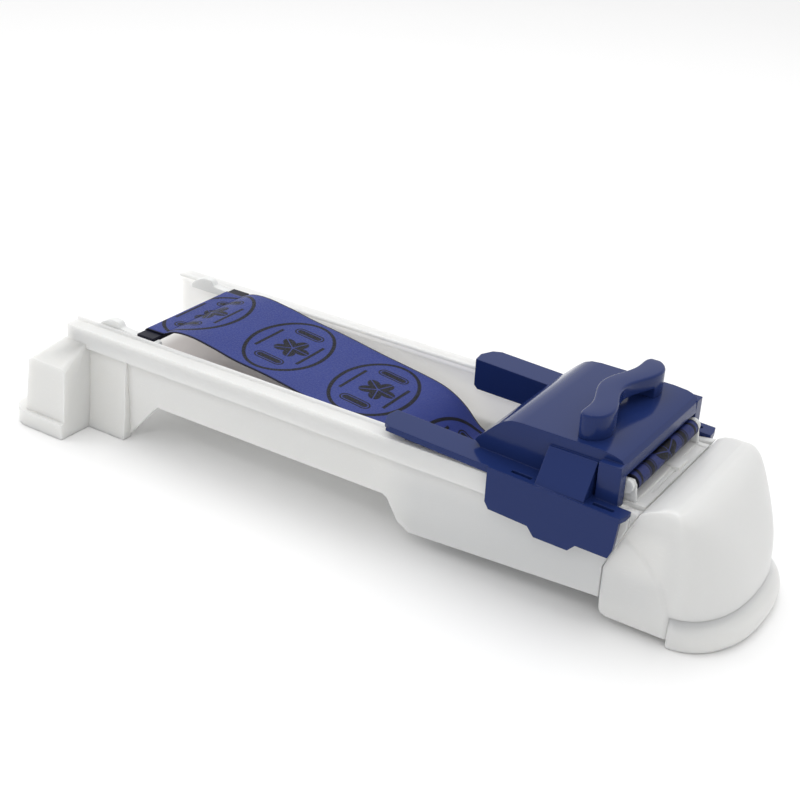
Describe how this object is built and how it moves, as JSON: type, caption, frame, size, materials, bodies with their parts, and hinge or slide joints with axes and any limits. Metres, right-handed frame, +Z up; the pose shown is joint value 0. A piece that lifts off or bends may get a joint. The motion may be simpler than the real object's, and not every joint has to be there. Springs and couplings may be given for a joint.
{
  "type": "vine-leaf rolling machine",
  "caption": "Table-top food rolling machine: a white trough with a blue fabric belt, a sliding press carriage with a grip on two rails, and a rounded nose cover.",
  "frame": {"origin": "on the ground, midway along the length and on the plane of symmetry", "axes": "+X along the rails towards the rounded nose, +Y across the trough, +Z up"},
  "size_m": [0.406, 0.142, 0.094],
  "materials": {
    "milky_plastic": "milky translucent white polypropylene, glossy",
    "cover_plastic": "milky translucent white polypropylene, glossy",
    "white_insert": "opaque white plastic, glossy",
    "grey_plastic": "light grey plastic, satin",
    "blue_plastic": "deep blue plastic, glossy",
    "belt_cloth": "blue satin-faced woven belt with a printed ring emblem",
    "hem_cloth": "dark blue folded belt hem, stitched",
    "bar_plastic": "dark blue plastic, satin",
    "steel": "drawn steel rod"
  },
  "bodies": {
    "frame": {"base_frame": "milky_plastic", "nose_cap": "cover_plastic", "nose_pins": "grey_plastic", "rod_yokes": "white_insert", "belt_rod": "steel", "rod_caps": "white_insert", "rear_belt_bar": "bar_plastic", "rear_bar_clips": "white_insert", "belt_rear_hem": "hem_cloth", "belt_rear_span": "belt_cloth", "belt_front_span": "belt_cloth", "belt_front_wrap": "belt_cloth"},
    "carriage": {"carriage_shell": "blue_plastic", "handle": "blue_plastic", "handle_screws": "steel", "roller_cradle": "white_insert", "roller_axle": "steel", "axle_clips": "steel", "belt_pocket_loop": "belt_cloth"},
    "roller": {"press_roller": "grey_plastic"}
  },
  "joints": [
    {"name": "carriage_slide", "type": "slide", "parent": "frame", "child": "carriage", "axis": [-1, 0, 0], "range_m": [0, 0.145], "deforming": ["belt_rear_span", "belt_front_span"]},
    {"name": "roller_spin", "type": "hinge", "parent": "carriage", "child": "roller", "pos_m": [0.085, 0, 0.039], "axis": [0, 1, 0], "range_deg": [-840, 20]}
  ],
  "couplings": [
    {"joint": "roller_spin", "follows": "carriage_slide", "rad_per_m": -100}
  ]
}
